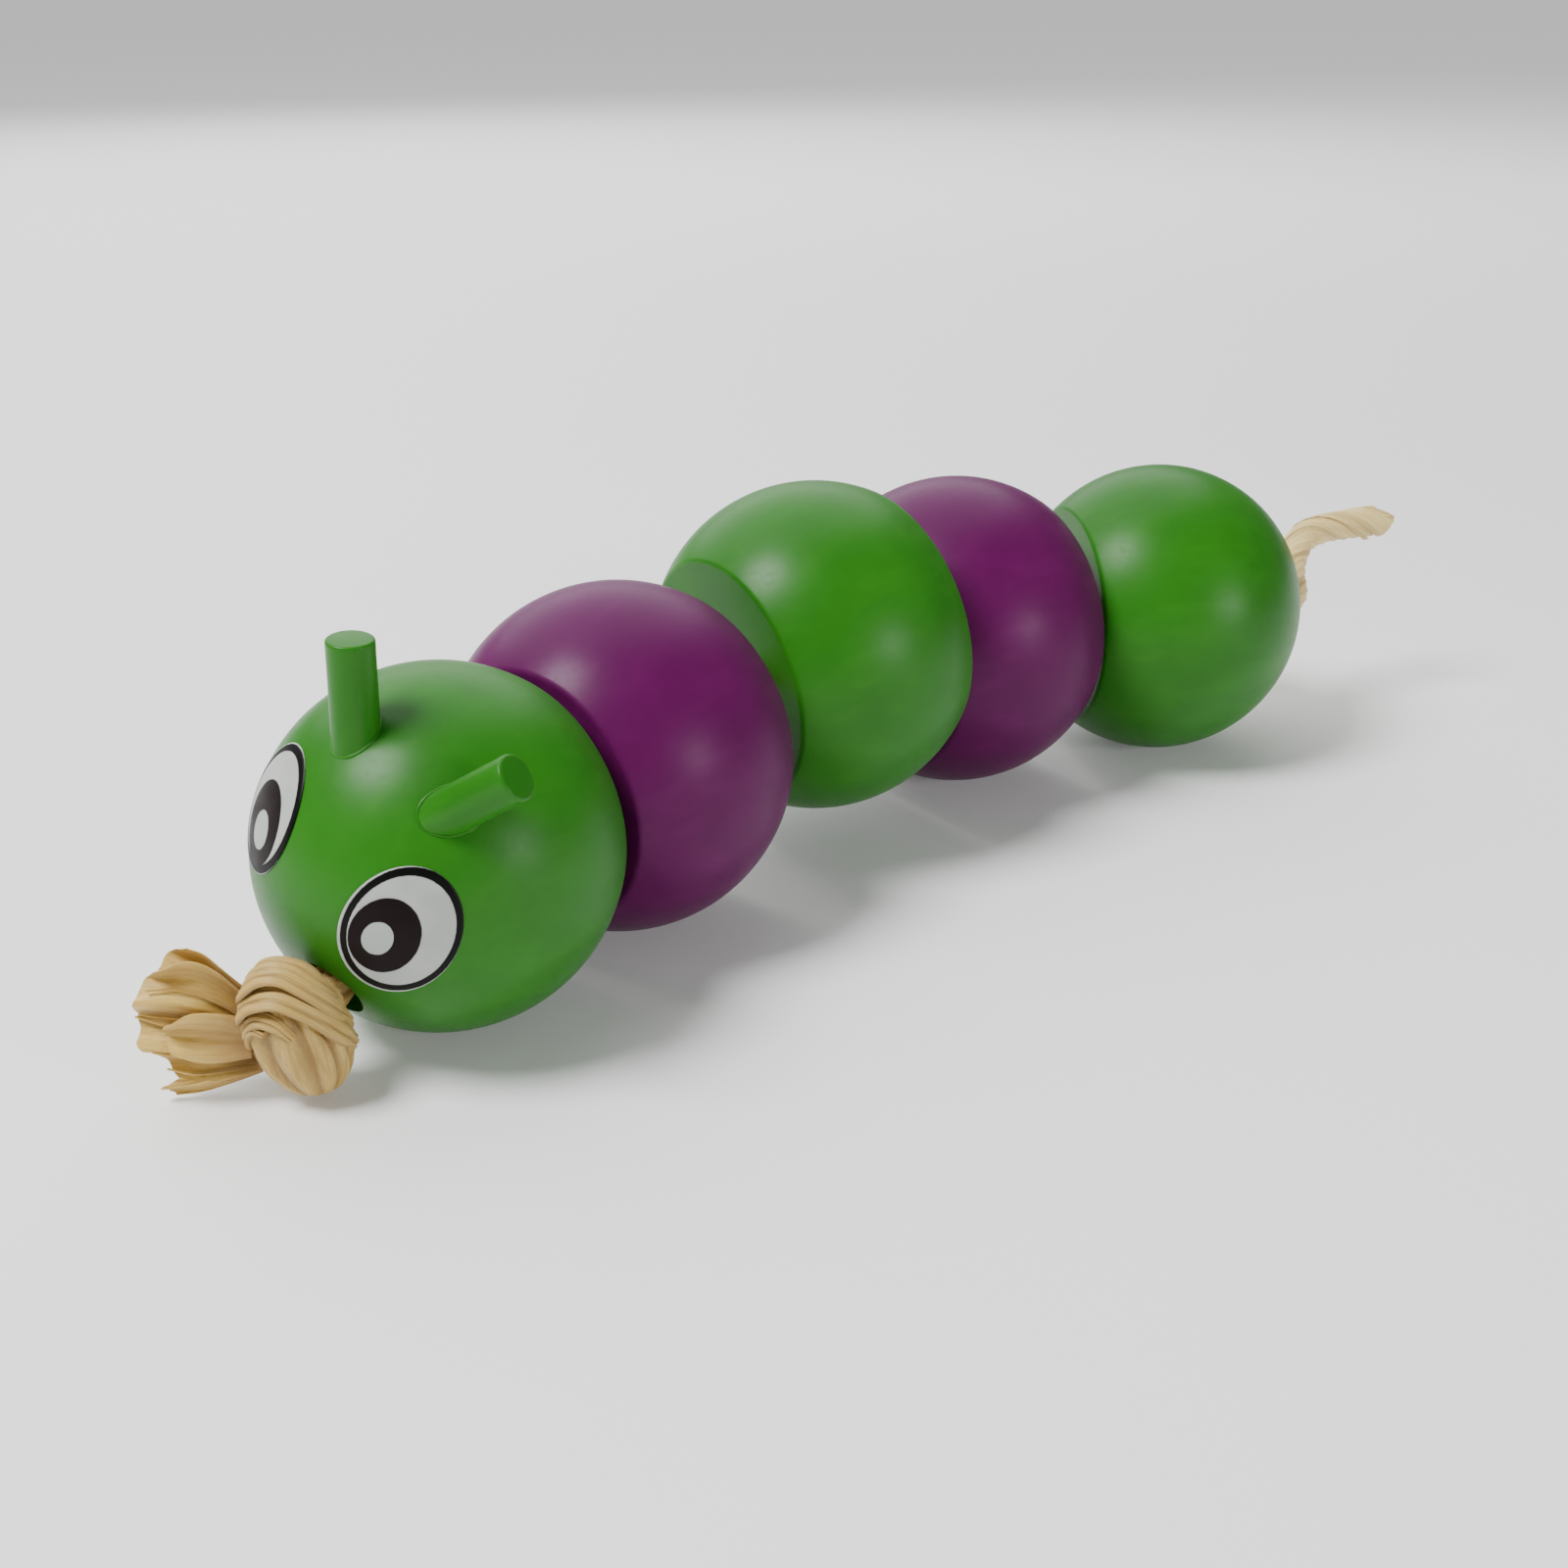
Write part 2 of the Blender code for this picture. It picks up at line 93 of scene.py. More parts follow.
ROPE_RADIUS = 2.35 * MM      # to the ridges of its lobes
FIBRE_RELIEF = 0.035 * MM    # height of the fine ribs on a strand
NECK_ROUTE = (1.0, 6.0, 11.0)            # rope behind the head's centre, in millimetres from it
NOSE_ROUTE = (3.0, 12.0, 18.6, 20.4)     # rope in front of the head's centre, in millimetres from it
BORE_ROUTE = 7.5 * MM        # the rope keeps to a bore's axis this far each side of the ball's centre
ROPE_END = 11.0 * MM         # tail ball's centre to the end of the rope in its bore
TURN_STEP = 0.5 * MM         # between two rings of the short rope at a bend
TAIL_KNOT_START = 11.4 * MM  # tail ball's centre to its knot
TAIL_KNOT_STEP = 0.4 * MM
TAIL_KNOT_RADIUS = 4.7 * MM
TAIL_TWIST = 2.0 * math.pi * 52.0    # turn of the loose end's plies, in radians per metre
STRAND_SCALE = 100.0         # strand coordinates along a fibre, per metre

STEPS_ROUND = 160            # facets round a turned piece
STEPS_ALONG = 80             # facets along a ball with two flats
HEAD_STEPS = 110             # facets along the head, whose front is round
TAIL_STEPS = 100             # facets along the tail ball, whose rear is round
MOUTH_STEPS = 4
RIM_STEPS = 8
ON_AXIS = 1e-7               # points this near a turned piece's axis are on it
SHARP_ANGLE = math.radians(50.0)

# Camera: place from the head's centre, heading and height in degrees, lens in millimetres
CAMERA_FROM_HEAD = Vector((-94.5, -162.5, 88.4)) * MM
CAMERA_AZIMUTH = -41.16
CAMERA_ELEVATION = 23.8
CAMERA_LENS = 45.0
STAGE_HALF = 3.0             # half the floor's side, in metres

JOINTS = {joint["name"]: joint for joint in frame["joints"]}


def direction(heading, elevation):
    turn = math.radians(heading)
    rise = math.radians(elevation)
    return Vector((math.cos(rise) * math.cos(turn), math.cos(rise) * math.sin(turn), math.sin(rise)))


def joint_point(name):
    return Vector(JOINTS[name]["pos_m"])


def joint_axis(name):
    return Vector(JOINTS[name]["axis"]).normalized()


HEAD = joint_point("head_roll")
HEAD_AXIS = joint_axis("head_roll")
# The head stands on the floor, so its centre is one radius up
HEAD_RADIUS = HEAD.z
NOSE_AXIS = direction(*NOSE)


# ---------------------------------------------------------------- mesh helpers

def axis_matrix(origin, axis):
    """Local +Z along axis, with local +X kept as level as it can be."""
    z = axis.normalized()
    x = UP.cross(z)
    x = x.normalized() if x.length > 1e-4 else Vector((1.0, 0.0, 0.0))
    turn = Matrix((x, z.cross(x), z)).transposed().to_4x4()
    return Matrix.Translation(origin) @ turn


def mesh_object(name, build):
    """New object from a function that fills a bmesh, with its faces turned outwards and shaded smooth."""
    mesh = bpy.data.meshes.new(name)
    form = bmesh.new()
    build(form)
    bmesh.ops.recalc_face_normals(form, faces=form.faces)
    form.to_mesh(mesh)
    form.free()
    mesh.shade_smooth()
    mesh.set_sharp_from_angle(angle=SHARP_ANGLE)
    item = bpy.data.objects.new(name, mesh)
    bpy.context.scene.collection.objects.link(item)
    return item


def finish_piece(item, material, body, slot, *nodes):
    """Paint a piece, let it ride on its body, and hide the CAD nodes that it stands for."""
    item.data.materials.clear()
    item.data.materials.append(material)
    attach(item, body)
    if nodes:
        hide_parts(*nodes)


def turned(name, outline, steps=STEPS_ROUND):
    """Solid of revolution about local Z; the outline's ends are on the axis or it is a closed loop."""
    closed = outline[0][0] > ON_AXIS

    def build(form):
        rings = []
        for radius, height in outline:
            if radius < ON_AXIS:
                rings.append([form.verts.new((0.0, 0.0, height))])
                continue
            ring = []
            for step in range(steps):
                angle = 2.0 * math.pi * step / steps
                ring.append(form.verts.new((radius * math.cos(angle), radius * math.sin(angle), height)))
            rings.append(ring)
        pairs = list(zip(rings, rings[1:]))
        if closed:
            pairs.append((rings[-1], rings[0]))
        for first, second in pairs:
            join_rings(form, first, second)

    return mesh_object(name, build)


def join_rings(form, first, second):
    """Faces between two closed rings; a ring of one vertex is a tip."""
    count = max(len(first), len(second))
    for step in range(count):
        after = (step + 1) % count
        if len(first) == 1:
            form.faces.new((first[0], second[after], second[step]))
        elif len(second) == 1:
            form.faces.new((first[step], first[after], second[0]))
        else:
            form.faces.new((first[step], first[after], second[after], second[step]))


def arc(centre, radius, start, end, steps):
    """Points of an outline on an arc, both ends included."""
    points = []
    for step in range(steps + 1):
        angle = start + (end - start) * step / steps
        points.append((centre[0] + radius * math.cos(angle), centre[1] + radius * math.sin(angle)))
    return points


def flat_end(radius, flat):
    """Upper end of a ball: bore mouth, flat and rounded rim, running outwards and down."""
    height = flat - RIM_ROUND
    across = math.sqrt((radius - RIM_ROUND) ** 2 - height ** 2)
    meet = math.atan2(height, across)
    centre = (BORE_RADIUS + BORE_FLARE, flat - MOUTH_ROUND)
    points = [(BORE_RADIUS, flat - BORE_FLARE)]
    points += arc(centre, MOUTH_ROUND, math.pi * 0.75, math.pi / 2.0, MOUTH_STEPS)
    points += arc((across, height), RIM_ROUND, math.pi / 2.0, meet, RIM_STEPS)
    return points, meet


def mirrored(points):
    """The same run of points on the other end, in the opposite order."""
    return [(across, -height) for across, height in reversed(points)]


def ball_outline(radius, front_flat):
    rear, rear_meet = flat_end(radius, REAR_FLAT)
    front, front_meet = flat_end(radius, front_flat)
    return rear + arc((0.0, 0.0), radius, rear_meet, -front_meet, STEPS_ALONG)[1:-1] + mirrored(front)


def head_outline(radius):
    """Flat at +Z with no hole yet, round at -Z."""
    end, meet = flat_end(radius, HEAD_FLAT)
    outline = [(0.0, HEAD_FLAT)] + end[MOUTH_STEPS + 1:]
    outline += arc((0.0, 0.0), radius, meet, -math.pi / 2.0, HEAD_STEPS)[1:-1]
    return outline + [(0.0, -radius)]


def tail_outline(radius, front_flat):
    """Flat at -Z, counterbored round end at +Z."""
    end, meet = flat_end(radius, front_flat)
    across = COUNTERBORE_RADIUS + COUNTERBORE_LIP
    reach = math.sqrt((radius - COUNTERBORE_LIP) ** 2 - across ** 2)
    mouth = math.atan2(reach, across)
    ledge = math.sqrt(radius ** 2 - COUNTERBORE_RADIUS ** 2) - COUNTERBORE_DEPTH
    outline = arc((across, reach), COUNTERBORE_LIP, math.pi, mouth, 5)
    outline += arc((0.0, 0.0), radius, mouth, -meet, TAIL_STEPS)[1:-1]
    outline += mirrored(end)
    return outline + [(BORE_RADIUS, ledge), (COUNTERBORE_RADIUS, ledge)]


def drill(target, start, end, radius):
    """Cut a round hole and keep the cut in the mesh."""
    mesh = bpy.data.meshes.new("drill")
    form = bmesh.new()
    length = (end - start).length
    bmesh.ops.create_cone(form, cap_ends=True, segments=64, radius1=radius, radius2=radius, depth=length)
    form.to_mesh(mesh)
    form.free()
    cutter = bpy.data.objects.new("drill", mesh)
    cutter.matrix_world = axis_matrix((start + end) / 2.0, end - start)
    bpy.context.scene.collection.objects.link(cutter)
    boolean = target.modifiers.new("drill", "BOOLEAN")
    boolean.operation = "DIFFERENCE"
    boolean.solver = "EXACT"
    boolean.object = cutter
    bpy.context.view_layer.update()
    graph = bpy.context.evaluated_depsgraph_get()
    cut = bpy.data.meshes.new_from_object(target.evaluated_get(graph))
    target.modifiers.clear()
    target.data = cut
    target.data.set_sharp_from_angle(angle=SHARP_ANGLE)
    bpy.data.objects.remove(cutter)


# ---------------------------------------------------------------- materials

class Nodes:
    """Short names for building one material's node tree."""

    def __init__(self, name):
        self.material = bpy.data.materials.new(name)
        self.material.use_nodes = True
        self.tree = self.material.node_tree
        self.shader = self.tree.nodes["Principled BSDF"]

    def add(self, kind, **settings):
        node = self.tree.nodes.new("ShaderNode" + kind)
        for key, value in settings.items():
            setattr(node, key, value)
        return node

    def link(self, source, target):
        self.tree.links.new(source, target)

    def place(self):
        return self.add("TexCoord").outputs["Object"]

    def noise(self, vector, scale, detail, roughness=0.5):
        node = self.add("TexNoise")
        node.inputs["Scale"].default_value = scale
        node.inputs["Detail"].default_value = detail
        node.inputs["Roughness"].default_value = roughness
        self.link(vector, node.inputs["Vector"])
        return node.outputs["Fac"]

    def stretch(self, vector, scale):
        node = self.add("Mapping")
        node.inputs["Scale"].default_value = scale
        self.link(vector, node.inputs["Vector"])
        return node.outputs["Vector"]

    def span(self, value, low, high, new_low=0.0, new_high=1.0, smooth=False):
        node = self.add("MapRange", interpolation_type="SMOOTHSTEP" if smooth else "LINEAR")
        sockets = ("From Min", "From Max", "To Min", "To Max")
        for socket, number in zip(sockets, (low, high, new_low, new_high)):
            node.inputs[socket].default_value = number
        self.link(value, node.inputs["Value"])
        return node.outputs["Result"]

    def mix(self, factor, first, second):
        """Colour mix; first and second are colours or sockets."""
        node = self.add("Mix", data_type="RGBA")
        self.link(factor, node.inputs[0])
        for value, index in ((first, 6), (second, 7)):
            if isinstance(value, tuple):
                node.inputs[index].default_value = (*value, 1.0)
            else:
                self.link(value, node.inputs[index])
        return node.outputs[2]

    def math(self, operation, first, second):
        """One sum on a socket; the second value is a number or a socket."""
        node = self.add("Math", operation=operation)
        self.link(first, node.inputs[0])
        if isinstance(second, float):
            node.inputs[1].default_value = second
        else:
            self.link(second, node.inputs[1])
        return node.outputs[0]

    def bump(self, height, strength, distance, below=None):
        node = self.add("Bump")
        node.inputs["Strength"].default_value = strength
        node.inputs["Distance"].default_value = distance
        self.link(height, node.inputs["Height"])
        if below is not None:
            self.link(below, node.inputs["Normal"])
        return node.outputs["Normal"]


def paint_material(name, base, deep, light, gloss):
    """Satin paint over turned wood: uneven film, fine orange peel, faint grain along each piece's axis."""
    nodes = Nodes(name)
    place = nodes.place()
    patches = nodes.noise(place, 55.0, 4.0, 0.55)
    grain = nodes.noise(nodes.stretch(place, (260.0, 260.0, 38.0)), 1.0, 4.0, 0.6)
    specks = nodes.noise(place, 1500.0, 2.0, 0.7)
    colour = nodes.mix(nodes.span(patches, 0.32, 0.72, smooth=True), deep, base)
    colour = nodes.mix(nodes.span(grain, 0.46, 0.78, 0.0, 0.22, smooth=True), colour, light)
    colour = nodes.mix(nodes.span(specks, 0.70, 0.80, 0.0, 0.30, smooth=True), colour, light)
    nodes.link(colour, nodes.shader.inputs["Base Color"])
    film_rough = nodes.span(patches, 0.3, 0.7, 0.33, 0.41)
    speck_rough = nodes.span(specks, 0.5, 0.8, 0.0, 0.07)
    nodes.link(nodes.math("ADD", film_rough, speck_rough), nodes.shader.inputs["Roughness"])
    peel = nodes.noise(place, 900.0, 2.0)
    film = nodes.bump(peel, 0.10, 0.05 * MM)
    film = nodes.bump(grain, 0.16, 0.06 * MM, film)
    film = nodes.bump(patches, 0.25, 0.20 * MM, film)
    nodes.link(film, nodes.shader.inputs["Normal"])
    nodes.shader.inputs["IOR"].default_value = 1.45
    nodes.shader.inputs["Specular IOR Level"].default_value = gloss
    return nodes.material


def disc_reach(nodes, place, toward, oval_width, oval_height):
    """How far a point on the head is from a disc's centre, in degrees once the oval is made round."""
    unit = nodes.add("VectorMath", operation="NORMALIZE")
    nodes.link(place, unit.inputs[0])
    offset = nodes.add("VectorMath", operation="SUBTRACT")
    nodes.link(unit.outputs[0], offset.inputs[0])
    offset.inputs[1].default_value = toward
    oval = nodes.add("VectorMath", operation="MULTIPLY")
    nodes.link(offset.outputs[0], oval.inputs[0])
    oval.inputs[1].default_value = (1.0 / oval_width, 1.0 / oval_height, 0.0)
    length = nodes.add("VectorMath", operation="LENGTH")
    nodes.link(oval.outputs[0], length.inputs[0])
    return nodes.math("MULTIPLY", length.outputs["Value"], 180.0 / math.pi)


def flat_reach(half_angle):
    """A disc's angular radius as disc_reach measures it."""
    return math.degrees(math.sin(math.radians(half_angle)))


def eye_material(name, discs, turn, oval_width, oval_height):
    """Printed eye: hair of white edge, black ring, white, dark pupil, pale highlight."""
    nodes = Nodes(name)
    place = nodes.place()
    ragged = nodes.math("SUBTRACT", nodes.noise(place, 2200.0, 2.0), 0.5)
    ragged = nodes.math("MULTIPLY", ragged, 0.25)
    reaches = []
    for heading, elevation, _ in discs[1:]:
        toward = (turn @ direction(heading, elevation)).normalized()
        reach = disc_reach(nodes, place, toward, oval_width, oval_height)
        reaches.append(nodes.math("ADD", reach, ragged))
    ring, pupil, spark = reaches
    mottle = nodes.noise(place, 300.0, 4.0)
    colour = nodes.mix(nodes.span(mottle, 0.3, 0.7), (0.35, 0.37, 0.35), (0.44, 0.46, 0.43))
    outside = flat_reach(discs[1][2])
    inside = flat_reach(discs[1][2] - RING_WIDTH)
    ring_out = nodes.span(ring, outside - PRINT_BLUR, outside + PRINT_BLUR, 1.0, 0.0)
    ring_in = nodes.span(ring, inside - PRINT_BLUR, inside + PRINT_BLUR)
    colour = nodes.mix(nodes.math("MULTIPLY", ring_out, ring_in), colour, (0.0012, 0.0012, 0.0010))
    tones = ((0.0050, 0.0005, 0.0010), (0.38, 0.41, 0.38))
    for reach, (_, _, half_angle), tone in zip((pupil, spark), discs[2:], tones):
        size = flat_reach(half_angle)
        inked = nodes.span(reach, size - PRINT_BLUR, size + PRINT_BLUR, 1.0, 0.0)
        colour = nodes.mix(inked, colour, tone)
    nodes.link(colour, nodes.shader.inputs["Base Color"])
    nodes.link(nodes.span(mottle, 0.3, 0.7, 0.40, 0.52), nodes.shader.inputs["Roughness"])
    nodes.link(nodes.bump(nodes.noise(place, 700.0, 3.0), 0.08, 0.05 * MM), nodes.shader.inputs["Normal"])
    nodes.shader.inputs["Specular IOR Level"].default_value = 0.12
    return nodes.material


def straw_material(name, light, middle, dark, shaded_length=0.0):
    """Raffia: long fibres along each strand, with painted shade in the folds and over the first
    shaded_length.
    """
    nodes = Nodes(name)
    strand = nodes.add("Attribute", attribute_name="strand").outputs["Vector"]
    place = nodes.place()
    fibres = nodes.noise(nodes.stretch(strand, (260.0, 9.0, 1.0)), 1.0, 5.0, 0.65)
    streaks = nodes.noise(nodes.stretch(strand, (60.0, 3.2, 1.0)), 1.0, 3.0, 0.6)
    patches = nodes.noise(place, 330.0, 4.0, 0.6)
    colour = nodes.mix(nodes.span(streaks, 0.34, 0.66, smooth=True), middle, light)
    colour = nodes.mix(nodes.span(fibres, 0.50, 0.72, 0.0, 0.55, smooth=True), colour, dark)
    colour = nodes.mix(nodes.span(patches, 0.50, 0.75, 0.0, 0.45, smooth=True), colour, middle)
    split = nodes.add("SeparateXYZ")
    nodes.link(strand, split.inputs[0])
    # Painted shade: the strand's fold value darkens its grooves, creases and pleat troughs.
    fold = nodes.span(split.outputs["Z"], 0.0, 1.0, 0.0, 0.65)
    colour = nodes.mix(fold, colour, dark)
    # Painted shade over the first shaded_length of each strand, next to the knot it comes out of.
    if shaded_length:
        near = nodes.span(split.outputs["Y"], 0.0, shaded_length * STRAND_SCALE, 0.75, 0.0, smooth=True)
        colour = nodes.mix(near, colour, dark)
    nodes.link(colour, nodes.shader.inputs["Base Color"])
    nodes.link(nodes.span(fibres, 0.3, 0.7, 0.42, 0.62), nodes.shader.inputs["Roughness"])
    relief = nodes.bump(fibres, 0.45, 0.12 * MM)
    nodes.link(nodes.bump(patches, 0.30, 0.15 * MM, relief), nodes.shader.inputs["Normal"])
    nodes.shader.inputs["Sheen Weight"].default_value = 0.15
    nodes.shader.inputs["Sheen Roughness"].default_value = 0.4
    return nodes.material


# ---------------------------------------------------------------- painted pieces

def make_balls(green, purple):
    """Smooth turned balls with rounded rims over the faceted CAD ones."""
    for index, (name, (radius, front_flat)) in enumerate(BALLS.items()):
        outline = (tail_outline if name == "tail" else ball_outline)(radius, front_flat)
        ball = turned(name + "_painted_ball", outline)
        ball.matrix_world = axis_matrix(joint_point(name + "_spin"), joint_axis(name + "_spin"))
        finish, slot = ((purple, "purple_wood"), (green, "green_wood"))[index % 2]
        finish_piece(ball, finish, name + "_ball_body", slot, name + "_ball")


def make_head(green):
    """Round head with a flat behind, drilled from there and from the nose to its centre."""
    head = turned("painted_head", head_outline(HEAD_RADIUS))
    head.matrix_world = axis_matrix(HEAD, HEAD_AXIS)
    outside = HEAD_RADIUS + DRILL_REACH
    drill(head, HEAD, HEAD + HEAD_AXIS * outside, BORE_RADIUS)
    drill(head, HEAD, HEAD + NOSE_AXIS * outside, NOSE_BORE_RADIUS)
    finish_piece(head, green, "head", "green_wood", "head_ball")


def make_antennae(green):
    """Dowels with softened ends, each with a small bead of paint where it enters the head."""
    for side, (place, lean, length) in ANTENNAE.items():
        along = direction(*lean)
        foot = HEAD + direction(*place) * HEAD_RADIUS
        corner = (ANTENNA_RADIUS - ANTENNA_EDGE, length - ANTENNA_EDGE)
        outline = [(0.0, length)]
        outline += arc(corner, ANTENNA_EDGE, math.pi / 2.0, 0.0, 5)
        outline += [(ANTENNA_RADIUS, length * share / 10.0) for share in range(9, -6, -1)]
        outline.append((0.0, -length * 0.5))
        dowel = turned(side + "_painted_antenna", outline, steps=72)
        for vert in dowel.data.vertices:
            vert.co.x += ANTENNA_WAVER * math.sin(vert.co.z * 420.0 + vert.co.x * 300.0)
        dowel.matrix_world = axis_matrix(foot, along)
        finish_piece(dowel, green, "head", "green_wood", side + "_antenna")
        bead = make_bead(side + "_antenna_paint_bead", foot, along)
        finish_piece(bead, green, "head", "green_wood")


def make_bead(name, foot, along):
    """Uneven ring of paint that follows the dowel's oval footprint on the round head."""
    steps = 72
    sides = 12
    basis = axis_matrix(foot, along).to_3x3()

    def build(form):
        rings = []
        for step in range(steps):
            angle = 2.0 * math.pi * step / steps
            spoke = basis @ Vector((math.cos(angle), math.sin(angle), 0.0))
            edge = foot + spoke * ANTENNA_RADIUS
            offset = edge - HEAD
            reach = offset.dot(along)
            drop = reach * reach - (offset.length_squared - HEAD_RADIUS ** 2)
            on_head = edge + along * (-reach + math.sqrt(drop))
            normal = (on_head - HEAD).normalized()
            thick = BEAD_RADIUS * (1.0 + 0.22 * math.sin(3.0 * angle + 1.0) + 0.12 * math.sin(7.0 * angle))
            outward = (spoke - normal * spoke.dot(normal)).normalized()
            ring = []
            for side in range(sides):
                turn = 2.0 * math.pi * side / sides
                lift = normal * math.sin(turn) * thick * 0.8
                ring.append(form.verts.new(on_head + outward * (math.cos(turn) * thick) + lift))
            rings.append(ring)
        for first, second in zip(rings, rings[1:] + rings[:1]):
            join_rings(form, first, second)

    return mesh_object(name, build)


def make_eyes():
    """Thin printed patches that follow the head, with a softly rounded cut edge."""
    for side, discs in EYES.items():
        heading, elevation, half = discs[0]
        oval_width, oval_height, lean = OVALS[side]
        matrix = axis_matrix(HEAD, direction(heading, elevation))
        matrix = matrix @ Matrix.Rotation(-math.radians(lean), 4, "Z")
        edge = math.radians(90.0 - half)
        rim = HEAD_RADIUS + EYE_EDGE
        outline = arc((0.0, 0.0), HEAD_RADIUS + EYE_CROWN, math.pi / 2.0, edge + 2.0 * EYE_BEVEL, 40)
        outline.append((rim * math.cos(edge - EYE_BEVEL), rim * math.sin(edge - EYE_BEVEL)))
        outline += arc((0.0, 0.0), HEAD_RADIUS - EYE_UNDERSIDE, edge + EYE_BEVEL, math.pi / 2.0, 20)
        patch = turned(side + "_printed_eye", outline, steps=120)
        make_oval(patch.data, oval_width, oval_height)
        patch.matrix_world = matrix
        turn = matrix.to_3x3().transposed()
        finish = eye_material(side + "_eye_print", discs, turn, oval_width, oval_height)
        finish_piece(patch, finish, "head", "eye_print", side + "_eye")


def make_oval(mesh, oval_width, oval_height):
    """Stretch a round patch into an oval while it keeps to the sphere."""
    for vert in mesh.vertices:
        distance = vert.co.length
        place = Vector((vert.co.x * oval_width, vert.co.y * oval_height, 0.0))
        place.z = math.sqrt(distance ** 2 - place.length_squared)
        vert.co = place


# ---------------------------------------------------------------- straw

def smooth_route(corners, steps):
    """Points on a Catmull-Rom curve through the corners."""
    padded = [corners[0] * 2.0 - corners[1], *corners, corners[-1] * 2.0 - corners[-2]]
    route = []
    for index in range(1, len(padded) - 2):
        before, start, end, after = padded[index - 1:index + 3]
        for step in range(steps):
            t = step / steps
            place = start * 2.0 + (end - before) * t
            place += (before * 2.0 - start * 5.0 + end * 4.0 - after) * t ** 2
            place += (start * 3.0 - before - end * 3.0 + after) * t ** 3
            route.append(place / 2.0)
    route.append(padded[-2])
    return route


def tangents(route):
    ends = [route[0] * 2.0 - route[1], *route, route[-1] * 2.0 - route[-2]]
    return [(after - before).normalized() for before, after in zip(ends, ends[2:])]


def carried_frames(route, first_side):
    """Side and up vectors along a route, carried from point to point without twist."""
    directions = []
    side = first_side
    for along in tangents(route):
        side = (side - along * side.dot(along)).normalized()
        directions.append((side, along.cross(side)))
    return directions


def add_strip(form, layer, rings, distances, folds):
    """Skin closed rings into a capped strip and write its strand coordinates (across, along, painted fold
    shade).
    """
    rows = []
    for ring, distance, fold in zip(rings, distances, folds):
        row = []
        for index, place in enumerate(ring):
            vert = form.verts.new(place)
            vert[layer] = Vector((index / len(ring), distance * STRAND_SCALE, fold[index]))
            row.append(vert)
        rows.append(row)
    for first, second in zip(rows, rows[1:]):
        join_rings(form, first, second)
    form.faces.new(rows[0])
    form.faces.new(rows[-1])


def travelled(route):
    """How far along a route each of its points is."""
    distances = [0.0]
    for first, second in zip(route, route[1:]):
        distances.append(distances[-1] + (second - first).length)
    return distances


def rope_rings(route, radius, draw, taper=0.0, turns_per_metre=95.0, lobes=3):
    """Twisted rope: lobes that wind round the route, grooved with fibres, its ends rounded over taper."""
    sides = 72
    carried = carried_frames(route, UP.cross(route[-1] - route[0]).normalized())
    distances = travelled(route)
    phase = draw.uniform(0.0, math.pi)
    rings = []
    folds = []
    for (side, up), place, distance in zip(carried, route, distances):
        wind = distance * turns_per_metre * 2.0 * math.pi / lobes + phase
        from_end = 0.02 * MM + min(distance, distances[-1] - distance)
        closing = min(1.0, from_end / taper) if taper else 1.0
        size = radius * math.sqrt(1.0 - (1.0 - closing) ** 2)
        ring = []
        fold = []
        for step in range(sides):
            angle = 2.0 * math.pi * step / sides
            lobe = abs(math.cos(lobes * (angle - wind) / 2.0))
            groove = 0.03 * math.sin(17.0 * (angle - wind) + 2.0 * math.sin(distance * 900.0))
            reach = size * (0.70 + 0.30 * lobe ** 0.55 + groove)
            ring.append(place + side * (reach * math.cos(angle)) + up * (reach * math.sin(angle)))
            # Painted shade in the grooves between the lobes.
            fold.append((1.0 - lobe) ** 2)
        rings.append(ring)
        folds.append(fold)
    return rings, distances, folds


def straw_object(name, strips):
    """One object from strips of rings, distances and painted fold shades."""
    def build(form):
        layer = form.verts.layers.float_vector.new("strand")
        for rings, distances, folds in strips:
            add_strip(form, layer, rings, distances, folds)

    return mesh_object(name, build)


def ribbon(route, widths, normal, draw, thickness, twist, fold=0.0, waves=0.0, edge_notch=0.0):
    """Twisted flat raffia strip along a route, optionally pleated lengthwise and frayed at the end."""
    across = 22
    carried = carried_frames(route, normal.cross(route[1] - route[0]).normalized())
    distances = travelled(route)
    phase = draw.uniform(0.0, 2.0 * math.pi)
    ripple = draw.uniform(0.6, 1.4)
    rings = []
    folds = []
    for (side, up), place, distance in zip(carried, route, distances):
        t = distance / distances[-1]
        half = interpolate(widths, t) * 0.5
        turn = twist * t
        flat = side * math.cos(turn) + up * math.sin(turn)
        rise = up * math.cos(turn) - side * math.sin(turn)
        along = flat.cross(rise)
        front = []
        back = []
        front_fold = []
        for step in range(across + 1):
            u = -1.0 + 2.0 * step / across
            pleat = math.cos(math.pi * waves * u + phase + 1.3 * math.sin(3.0 * t * ripple))
            fine = math.sin(29.0 * u + 4.0 * phase + 5.0 * t)
            height = fold * pleat + FIBRE_RELIEF * fine
            notch = edge_notch * t ** 6 * math.sin(5.0 * u + 2.0 * phase + 11.0 * u * u)
            middle = place + flat * (u * half) + rise * height + along * notch
            gauge = thickness * (1.0 - 0.75 * u ** 8) * 0.5
            front.append(middle + rise * gauge)
            back.append(middle - rise * gauge)
            # Painted shade in the troughs of the pleats; a strip without pleats gets an even 0.25 throughout.
            front_fold.append(0.5 - 0.5 * pleat if fold else 0.25)
        rings.append(front + back[::-1])
        folds.append(front_fold + front_fold[::-1])
    return rings, distances, folds


def interpolate(values, t):
    """Value at t, 0 to 1, along evenly spaced values."""
    position = t * (len(values) - 1)
    index = min(int(position), len(values) - 2)
    share = position - index
    share = share * share * (3.0 - 2.0 * share)
    return values[index] * (1.0 - share) + values[index + 1] * share


